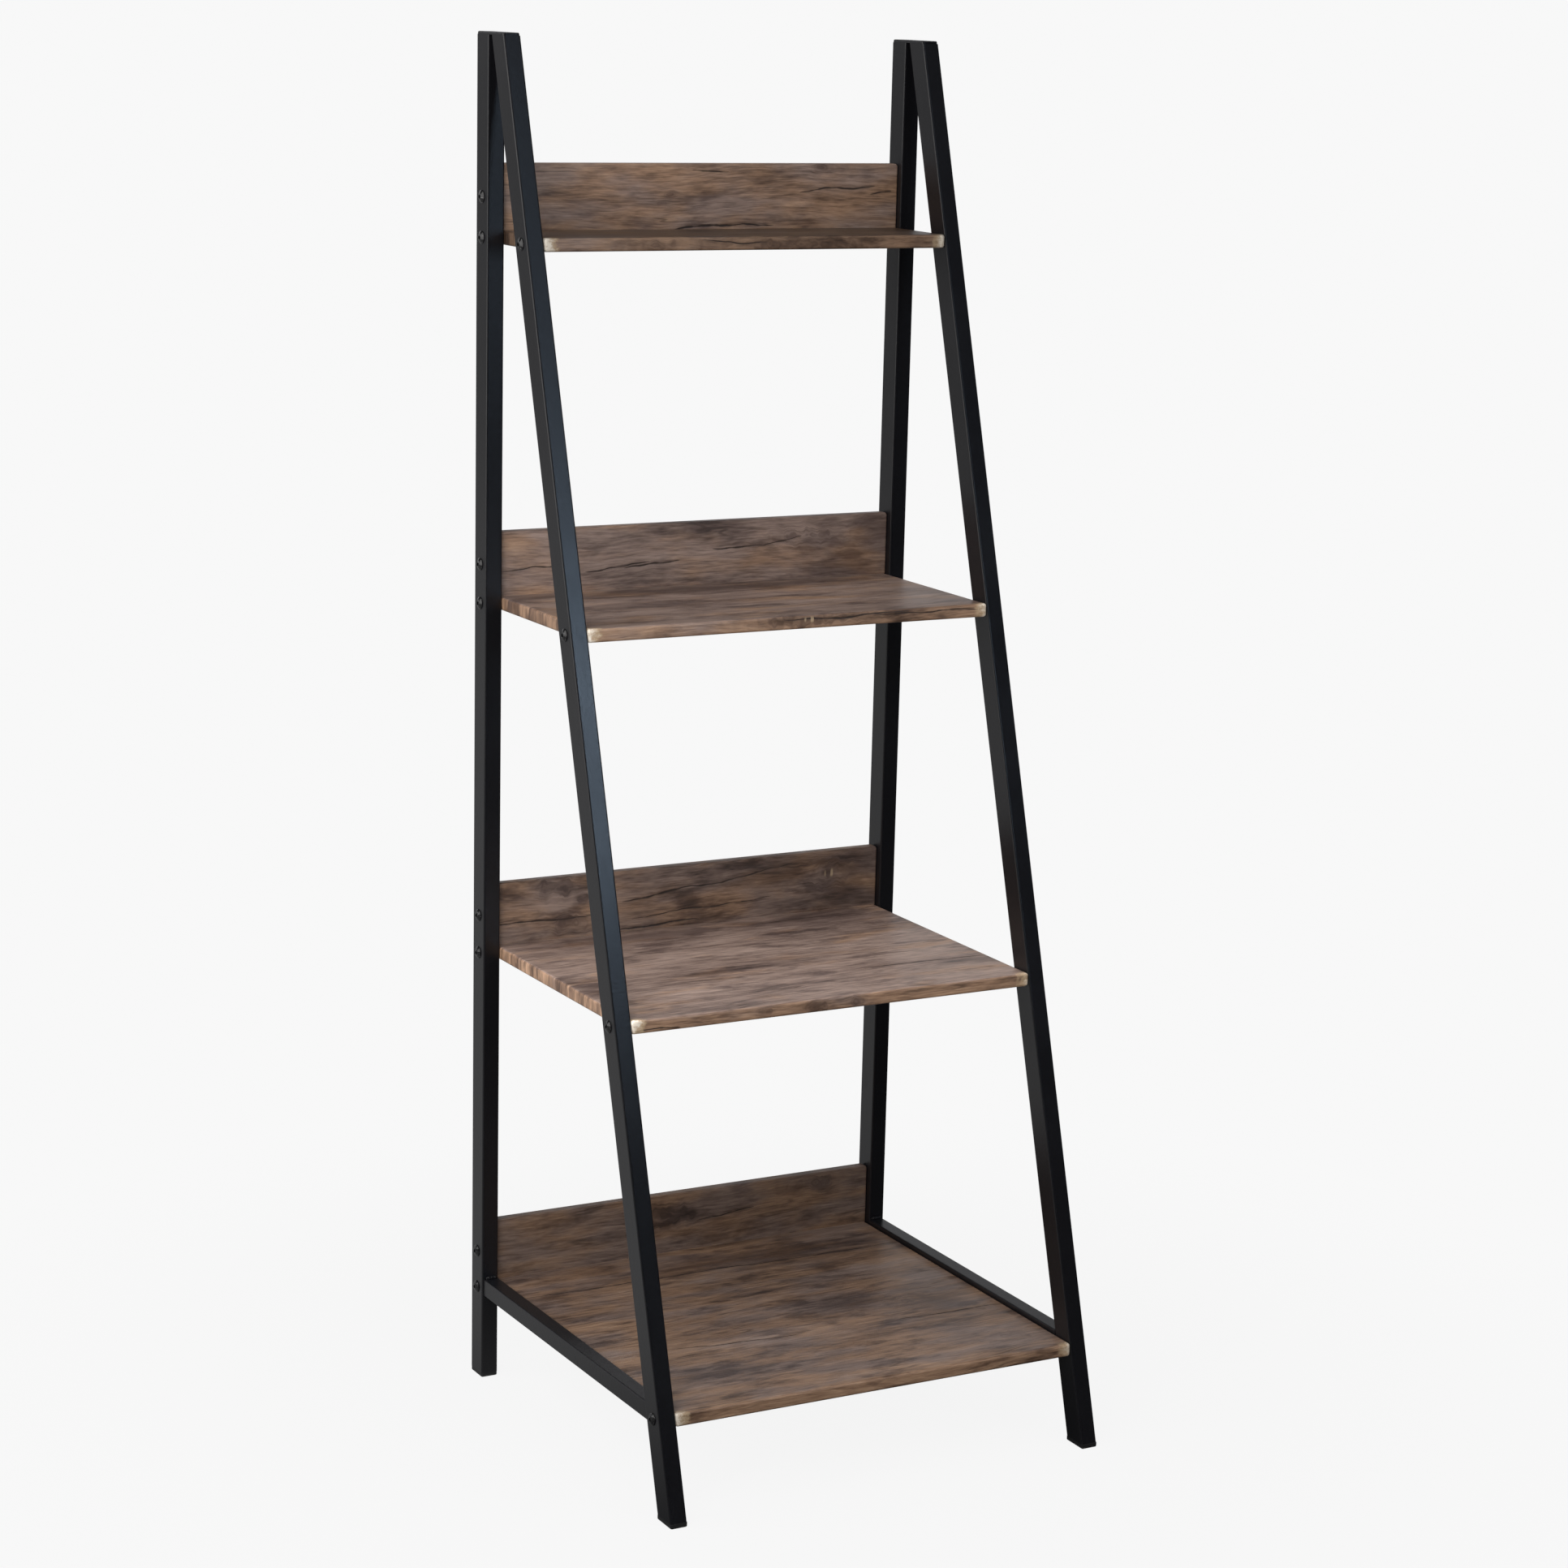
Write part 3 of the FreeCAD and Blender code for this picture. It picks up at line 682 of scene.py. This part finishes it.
def sleeve_material():
    """Bright metal, warmed and dulled in soft patches as zinc plating is."""
    material, tree, shader = new_material("zinc_plated_sleeves")
    place = put(tree, "TexCoord").outputs["Object"]
    patch = solid_noise(tree, place, 260.0, detail=3.0)
    tree.links.new(mix(tree, patch, ZINC_DULL, ZINC_BRIGHT), shader.inputs["Base Color"])
    tree.links.new(maths(tree, "MULTIPLY_ADD", patch, 0.3, 0.2), shader.inputs["Roughness"])
    tree.links.new(maths(tree, "MULTIPLY_ADD", patch, 0.1, 0.9), shader.inputs["Metallic"])
    emboss(tree, shader, patch, 0.15, 0.0002)
    return material


sleeve_finish = sleeve_material()
for tier in TIERS:
    nodes["tier_%d_inserts" % tier].material_slots[0].material = sleeve_finish
print("material:", sleeve_finish.name)

# %% Material: moulded feet
PLASTIC_DARK = (0.010, 0.010, 0.011, 1.0)
PLASTIC_LIGHT = (0.020, 0.020, 0.021, 1.0)
PLASTIC_RUBBED = (0.05, 0.05, 0.05, 1.0)
RUBBED_HEIGHT = 0.003


def foot_material():
    """Dull black plastic with a fine moulded grain, rubbed paler in patches below RUBBED_HEIGHT."""
    material, tree, shader = new_material("moulded_black_feet")
    place = put(tree, "TexCoord").outputs["Object"]
    grain = solid_noise(tree, place, 1300.0)
    smear = solid_noise(tree, place, 120.0, detail=4.0, roughness=0.7)
    low = ease(tree, parts_of(tree, place)["Z"], RUBBED_HEIGHT, 0.0005)
    rubbed = maths(tree, "MULTIPLY", low, ease(tree, smear, 0.42, 0.62))
    dark = mix(tree, grain, PLASTIC_DARK, PLASTIC_LIGHT)
    tree.links.new(mix(tree, rubbed, dark, PLASTIC_RUBBED), shader.inputs["Base Color"])
    tree.links.new(maths(tree, "MULTIPLY_ADD", smear, 0.2, 0.42), shader.inputs["Roughness"])
    emboss(tree, shader, grain, 0.3, 0.0003)
    return material


foot_finish = foot_material()
for side in SIDES:
    for part in ("_rear_foot", "_front_foot"):
        nodes[side + part].material_slots[0].material = foot_finish
print("material:", foot_finish.name)

# %% [markdown]
# ## Weld beads
# The lower rail is welded between the upright and the leg. A hand weld is a row of overlapping
# puddles: its surface ripples along the seam, its width changes a little, and it rounds off where
# the welder stopped. A CAD fillet would be a perfect triangle. Here each bead is one closed tube,
# whose radius is a function of the place along the seam and the angle round it. The tube is centred
# just outside the corner, so that its hidden half lies in the steel. Sculpting would look as good,
# but a formula can be changed and run again.

# %% Shape: one rippled bead
BEAD_STATIONS = 72
BEAD_SIDES = 20
PUDDLES = 6.5
RIPPLE = 0.09
LUMP = 0.035
LUMP_WAVES = 4
OFF_CORNER = 0.42


def bead_surface(x_low, x_high, corner, outward, radius, seed):
    """Points of a bead along x. Radius = radius * dome(s) * (1 + ripple(s, a) + lumps(s, a)).

    s runs 0..1 along the seam and a runs round it. The dome is (1 - (2s - 1)^6)^0.5, and the ripple is
    RIPPLE * sin(2 pi (PUDDLES s + 0.12 cos a)), a chevron. The lumps are LUMP_WAVES slow waves. corner
    and outward are (y, z) pairs: the tube's middle is OFF_CORNER * radius outward from the corner.
    """
    random = np.random.default_rng(seed)
    s = np.linspace(0.0, 1.0, BEAD_STATIONS)[:, None]
    a = np.linspace(0.0, 2.0 * math.pi, BEAD_SIDES, endpoint=False)[None, :]
    dome = np.sqrt(np.clip(1.0 - (2.0 * s - 1.0) ** 6, 0.0, None))
    ripple = RIPPLE * np.sin(2.0 * math.pi * (PUDDLES * s + 0.12 * np.cos(a)))
    lumps = np.zeros_like(s * a)
    for wave in range(1, LUMP_WAVES + 1):
        turn, shift = random.uniform(0.0, 2.0 * math.pi, 2)
        lumps += LUMP * np.sin(2.0 * math.pi * wave * 1.3 * s + turn) * np.cos(a + shift)
    reach = radius * dome * (1.0 + ripple + lumps)
    centre = np.array(corner) + np.array(outward) * radius * OFF_CORNER
    x = np.broadcast_to(x_low + (x_high - x_low) * s, reach.shape)
    return np.stack([x, centre[0] + reach * np.cos(a), centre[1] + reach * np.sin(a)], axis=-1)


def closed_tube_faces(stations, around, first):
    """Quads between the rings and a fan at each end; the end rings are single points."""
    ring = np.arange(around)
    after = np.roll(ring, -1)
    rings = first + 1 + np.arange(stations - 2)[:, None] * around
    low, high = rings[:-1], rings[1:]
    quads = np.stack([low + ring, low + after, high + after, high + ring], axis=-1).reshape(-1, 4)
    tip_high = first + 1 + (stations - 2) * around
    fan_low = np.stack([np.full(around, first), first + 1 + after, first + 1 + ring], axis=-1)
    last = tip_high - around
    fan_high = np.stack([np.full(around, tip_high), last + ring, last + after], axis=-1)
    return quads.tolist() + fan_low.tolist() + fan_high.tolist()


print("a bead has", BEAD_STATIONS, "stations and", BEAD_SIDES, "sides")


# %% Piece: the weld beads of each side
BEAD_RADIUS = 0.0026
BEAD_INSET = 0.0022
BEAD_SEEDS = {"left": 3, "right": 13}
CUBIC_MM_IN_METRE = 1e9


def volume_of(vertices, faces):
    """Signed volume of a closed mesh: a . (b x c) / 6 over its triangles, above 0 if they face outwards."""
    fans = [(face[0], face[k], face[k + 1]) for face in faces for k in range(1, len(face) - 1)]
    a, b, c = np.moveaxis(vertices[np.array(fans)], 1, 0)
    return np.sum(a * np.cross(b, c)) / 6.0


def weld_beads(side, seed):
    """Four beads: above and below the rail, at the upright and at the leg, each across the rail's width.

    A seam is the corner's (y, z) and the way out of it, halfway between the two steel faces. The leg
    leans, so at its seams that way is more along one axis and less along the other.
    """
    rail_low, rail_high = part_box(side + "_lower_rail")
    leg_at_bottom = rail_low.y
    leg_at_top = rail_low.y + LEAN * (rail_high.z - rail_low.z)
    out = math.sqrt(0.5)
    more, less = 0.81, 0.59
    seams = [((rail_high.y, rail_high.z), (-out, out)), ((rail_high.y, rail_low.z), (-out, -out)),
             ((leg_at_top, rail_high.z), (more, less)), ((leg_at_bottom, rail_low.z), (less, -more))]
    vertices, faces = [], []
    for number, (corner, outward) in enumerate(seams):
        grid = bead_surface(rail_low.x + BEAD_INSET, rail_high.x - BEAD_INSET, corner, outward,
                            BEAD_RADIUS, seed + number)
        faces += closed_tube_faces(BEAD_STATIONS, BEAD_SIDES, sum(map(len, vertices)))
        vertices.append(np.concatenate([grid[0, :1], grid[1:-1].reshape(-1, 3), grid[-1, :1]]))
    vertices = np.concatenate(vertices)
    mesh = bpy.data.meshes.new(side + "_weld_beads")
    mesh.from_pydata(vertices.tolist(), [], faces)
    mesh.polygons.foreach_set("use_smooth", [True] * len(mesh.polygons))
    mesh.materials.append(weld_finish)
    piece = bpy.data.objects.new(side + "_weld_beads", mesh)
    bpy.context.scene.collection.objects.link(piece)
    print("%s: %d faces, volume %.1f mm3"
          % (piece.name, len(faces), CUBIC_MM_IN_METRE * volume_of(vertices, faces)))
    return piece


for side in SIDES:
    beads = weld_beads(side, BEAD_SEEDS[side])
    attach(beads, "root")
    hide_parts(side + "_frame_welds")

# %% [markdown]
# ## Floor and surroundings
# The shelf stands on a plain pale floor that fades into a pale surround, so there is no horizon.
# Black steel shows mostly what it mirrors. In an all-white room it would look grey. So the room is
# dark around the camera and grey behind the shelf, with one bright band low on the back wall, as
# from a long window. That band is what draws the soft shine on the tops of the boards. Floor and
# world do this with Light Path: the camera sees an even pale colour, and all other rays see the
# room.

# %% Floor
WHITE = (1.0, 1.0, 1.0, 1.0)
PALE = 0.938
FLOOR_RADIUS = 7.0
FLOOR_SIDES = 96
FLOOR_LOW = (0.86, 0.86, 0.86, 1.0)
FLOOR_HIGH = (0.90, 0.90, 0.90, 1.0)
EVEN_NEAR = 0.955
FADE_FROM, FADE_TO = 0.4, 1.2
GLOW_LOW, GLOW_HIGH = 0.03, 0.37


def disc_mesh(radius, sides):
    """A flat disc: one centre vertex and a fan of triangles round it."""
    turn = np.linspace(0.0, 2.0 * math.pi, sides, endpoint=False)
    rim = np.stack([radius * np.cos(turn), radius * np.sin(turn), np.zeros(sides)], axis=-1)
    ring = np.arange(1, sides + 1)
    fan = np.stack([np.zeros(sides, int), ring, np.roll(ring, -1)], axis=-1)
    mesh = bpy.data.meshes.new("floor")
    mesh.from_pydata([(0.0, 0.0, 0.0)] + rim.tolist(), [], fan.tolist())
    return mesh


def floor_material():
    """For the camera an even pale glow, with a little real shade on it near the shelf.

    The even glow's share is EVEN_NEAR up to FADE_FROM metres from the middle, and 1 past FADE_TO. For
    all other rays the floor glows from GLOW_LOW at the right front to GLOW_HIGH at the left rear.
    """
    material = bpy.data.materials.new("pale_floor")
    material.use_nodes = True
    tree = material.node_tree
    tree.nodes.clear()
    place = put(tree, "TexCoord").outputs["Object"]
    path = put(tree, "LightPath")
    speckle = solid_noise(tree, place, 60.0, detail=3.0)
    pale = mix(tree, speckle, FLOOR_LOW, FLOOR_HIGH)
    lit = put(tree, "BsdfDiffuse", {"Color": pale})
    even = put(tree, "Emission", {"Color": WHITE, "Strength": PALE})
    far = ease(tree, vectors(tree, "LENGTH", place), FADE_FROM, FADE_TO, EVEN_NEAR, 1.0)
    seen = put(tree, "MixShader", {0: far, 1: lit.outputs[0], 2: even.outputs[0]})
    across, back, _ = parts_of(tree, place)
    glow = ease(tree, maths(tree, "MULTIPLY_ADD", across, -0.9, back), -0.3, 0.9, GLOW_LOW, GLOW_HIGH)
    dim = put(tree, "Emission", {"Color": WHITE, "Strength": glow})
    both = put(tree, "MixShader", {0: path.outputs["Is Camera Ray"], 1: dim.outputs[0],
                                   2: seen.outputs[0]})
    put(tree, "OutputMaterial", {"Surface": both.outputs[0]})
    return material


floor = bpy.data.objects.new("floor", disc_mesh(FLOOR_RADIUS, FLOOR_SIDES))
floor.data.materials.append(floor_material())
bpy.context.scene.collection.objects.link(floor)
print("floor radius %.1f m" % FLOOR_RADIUS)

# %% The room around the shelf
FRONT_OF_ROOM = (0.005, 0.005, 0.006, 1.0)
BACK_OF_ROOM = (0.21, 0.21, 0.21, 1.0)
WALL_ABOVE_BAND = (0.07, 0.07, 0.07, 1.0)
BAND_OF_LIGHT = (1.15, 1.15, 1.18, 1.0)
CEILING = (0.21, 0.21, 0.215, 1.0)


def room_world():
    """Even pale colour for the camera; for all other rays a room, dark in front and grey behind and above.

    up is the sine of the height above the horizon. The back wall has a band of daylight from about 5
    to 17 degrees, and is darker above it.
    """
    world = bpy.data.worlds.new("studio")
    bpy.context.scene.world = world
    world.use_nodes = True
    tree = world.node_tree
    tree.nodes.clear()
    toward = parts_of(tree, put(tree, "TexCoord").outputs["Generated"])
    up = toward["Z"]
    band = maths(tree, "MULTIPLY", ease(tree, up, 0.08, 0.16), ease(tree, up, 0.30, 0.23))
    wall = mix(tree, ease(tree, up, 0.22, 0.30), BACK_OF_ROOM, WALL_ABOVE_BAND)
    back = mix(tree, band, wall, BAND_OF_LIGHT)
    room = mix(tree, ease(tree, toward["Y"], -0.15, 0.55), FRONT_OF_ROOM, back)
    room = mix(tree, ease(tree, up, 0.35, 0.9), room, CEILING)
    seen = put(tree, "Background", {"Color": (PALE, PALE, PALE, 1.0), "Strength": 1.0})
    light = put(tree, "Background", {"Color": room, "Strength": 1.0})
    both = put(tree, "MixShader", {0: put(tree, "LightPath").outputs["Is Camera Ray"],
                                   1: light.outputs[0], 2: seen.outputs[0]})
    put(tree, "OutputWorld", {"Surface": both.outputs[0]})


room_world()
print("room: dark in front, a band of daylight low behind")

# %% [markdown]
# ## Lights
# Five warm softboxes give an even light: one on top, two at the front, one low at the front for the
# bottom shelf, and a large one on the left that lifts the outer faces. The top one is steep enough
# that each shelf shades the back of the one below. Only the left one is seen in gloss. The others
# would each draw a streak on every tube, so glossy rays pass them by. Two cool window lights to the
# right of the camera do the opposite: they are there only for the sheen along the slanted legs, so
# they are hidden from diffuse light, and a narrow spread keeps the lower one on the left leg.

# %% Softboxes
def softbox(name, place, target, size, watts, colour):
    """A rectangular area light at place that faces target, and that the camera doesn't see."""
    data = bpy.data.lights.new(name, "AREA")
    data.shape = "RECTANGLE"
    data.size, data.size_y = size
    data.energy = watts
    data.color = colour
    light = bpy.data.objects.new(name, data)
    light.location = place
    light.rotation_euler = (Vector(target) - Vector(place)).to_track_quat("-Z", "Y").to_euler()
    light.visible_camera = False
    bpy.context.scene.collection.objects.link(light)
    return light


MIDDLE = (0.0, 0.0, 0.85)
WARM = (1.0, 0.985, 0.96)
LESS_WARM = (1.0, 0.985, 0.97)
COOL = (0.60, 0.78, 1.0)

# Name, place, target, size, watts, colour, and whether it is seen in gloss.
SOFTBOXES = [
    ("top_softbox", (0.2, -0.9, 3.6), MIDDLE, (2.0, 1.6), 15.0, WARM, False),
    ("high_front_softbox", (-0.2, -2.0, 3.2), MIDDLE, (2.0, 1.6), 4.0, WARM, False),
    ("left_front_softbox", (-1.7, -1.5, 1.6), MIDDLE, (1.2, 1.6), 36.0, WARM, False),
    ("low_front_softbox", (0.5, -1.8, 0.7), (0.0, 0.0, 0.3), (1.2, 0.9), 8.0, WARM, False),
    ("left_softbox", (-1.9, 0.2, 1.65), MIDDLE, (1.6, 2.2), 24.0, LESS_WARM, True),
]

# Name, place, target, size, watts, colour, and spread in degrees.
WINDOWS = [
    ("window_sheen", (0.42, -1.75, 1.46), (-0.26, 0.0, 0.74), (0.4, 0.5), 0.56, COOL, 50.0),
    ("upper_window_sheen", (0.50, -1.75, 2.20), (-0.26, 0.1, 1.25), (0.4, 1.0), 2.2, COOL, 180.0),
]
for *box, shines in SOFTBOXES:
    softbox(*box).visible_glossy = shines
for *box, spread in WINDOWS:
    window = softbox(*box)
    window.visible_diffuse = False
    window.data.spread = math.radians(spread)
print("softboxes: %d, windows: %d" % (len(SOFTBOXES), len(WINDOWS)))

# %% [markdown]
# ## Camera
# A long lens from a little above the middle of the shelf keeps the uprights nearly parallel. The
# camera is aimed slightly down, and the lens is shifted a little to centre the shelf.

# %% Camera
CAMERA_PLACE = (-1.9421, -3.5178, 1.5899)
CAMERA_TURN = (76.1366, -1.6343, -29.4815)
CAMERA_LENS = 85.797
CAMERA_SENSOR = 36.0
CAMERA_SHIFT = (-0.04378, 0.07503)

camera_data = bpy.data.cameras.new("camera")
camera_data.sensor_width = CAMERA_SENSOR
camera_data.lens = CAMERA_LENS
camera_data.shift_x, camera_data.shift_y = CAMERA_SHIFT
camera = bpy.data.objects.new("camera", camera_data)
camera.location = CAMERA_PLACE
camera.rotation_euler = [math.radians(turn) for turn in CAMERA_TURN]
bpy.context.scene.collection.objects.link(camera)
bpy.context.scene.camera = camera
bpy.context.scene.view_settings.view_transform = "Standard"
print("camera %.2f m from the middle" % (Vector(CAMERA_PLACE) - Vector(MIDDLE)).length)
